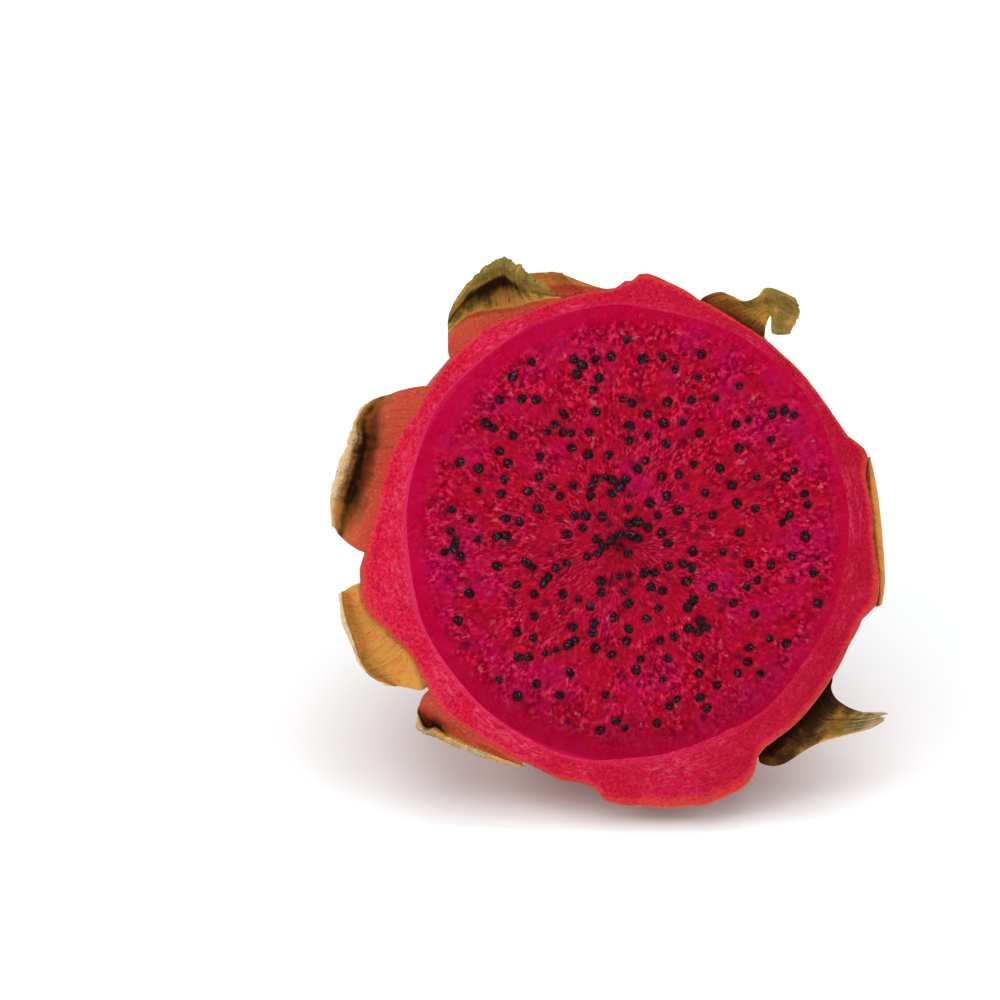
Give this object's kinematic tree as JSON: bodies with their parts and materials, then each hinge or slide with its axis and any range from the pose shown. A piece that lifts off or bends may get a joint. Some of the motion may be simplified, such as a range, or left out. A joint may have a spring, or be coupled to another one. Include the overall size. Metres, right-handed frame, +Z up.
{
  "type": "dragon fruit half",
  "caption": "Half of a red-fleshed dragon fruit, cut across: dark pink flesh in a thick rind with leafy dried scales, tipped back onto a small flat spot.",
  "frame": {"origin": "middle of the small flat spot that the half rests on", "axes": "+Z up; the cut face looks towards -Y and 22 degrees up; +X is to the right for someone who looks at the cut face"},
  "size_m": [0.1052, 0.0814, 0.1002],
  "materials": {
    "flesh": "wet, crimson to magenta, with black seeds",
    "rind": "smooth coral-pink skin, crimson where it is cut",
    "scale": "coral at the base, olive and ochre towards a dry brown curled edge",
    "stalk": "dry cut stalk"
  },
  "bodies": {
    "root": {"flesh": "flesh", "rind": "rind", "stem_stub": "stalk", "scale_top_left": "scale", "scale_top": "scale", "scale_top_right": "scale", "scale_right": "scale", "scale_bottom_right": "scale", "scale_bottom_left": "scale", "scale_lower_left": "scale", "scale_left": "scale", "scale_middle_1": "scale", "scale_middle_2": "scale", "scale_middle_3": "scale", "scale_middle_4": "scale", "scale_middle_5": "scale", "scale_middle_6": "scale", "scale_middle_7": "scale", "scale_shoulder_1": "scale", "scale_shoulder_2": "scale", "scale_shoulder_3": "scale", "scale_shoulder_4": "scale", "scale_shoulder_5": "scale", "scale_shoulder_6": "scale", "scale_shoulder_7": "scale", "scale_stalk_1": "scale", "scale_stalk_2": "scale", "scale_stalk_3": "scale", "scale_stalk_4": "scale"}
  },
  "joints": []
}
